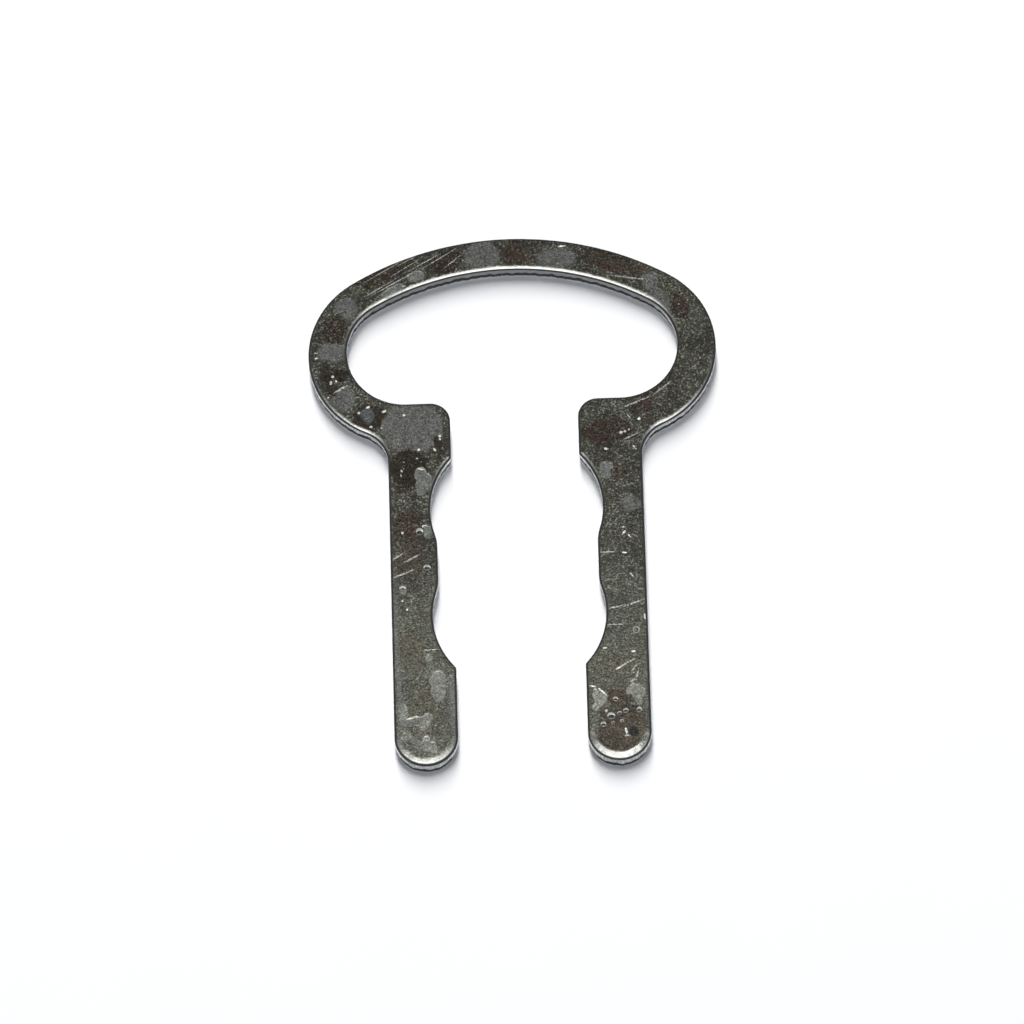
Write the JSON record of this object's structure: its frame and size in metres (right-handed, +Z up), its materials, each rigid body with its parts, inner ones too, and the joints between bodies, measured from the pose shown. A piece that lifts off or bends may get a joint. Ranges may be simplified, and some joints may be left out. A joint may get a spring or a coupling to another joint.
{
  "type": "safety clip",
  "caption": "Flat spring-steel safety clip: an open loop joins parallel round-tipped legs whose inner edges have round seats that snap round a grooved pin.",
  "frame": {"origin": "middle of the overall length and width, on the face that rests on the table", "axes": "+Z up through the sheet, +Y along the legs towards the loop, +X across the legs"},
  "size_m": [0.0318, 0.045, 0.0015],
  "materials": {
    "spring_steel": "blackened and oiled spring steel as blanked, mottled brown and grey, with bright rolled edges"
  },
  "bodies": {
    "root": {"safety_clip": "spring_steel"}
  },
  "joints": []
}
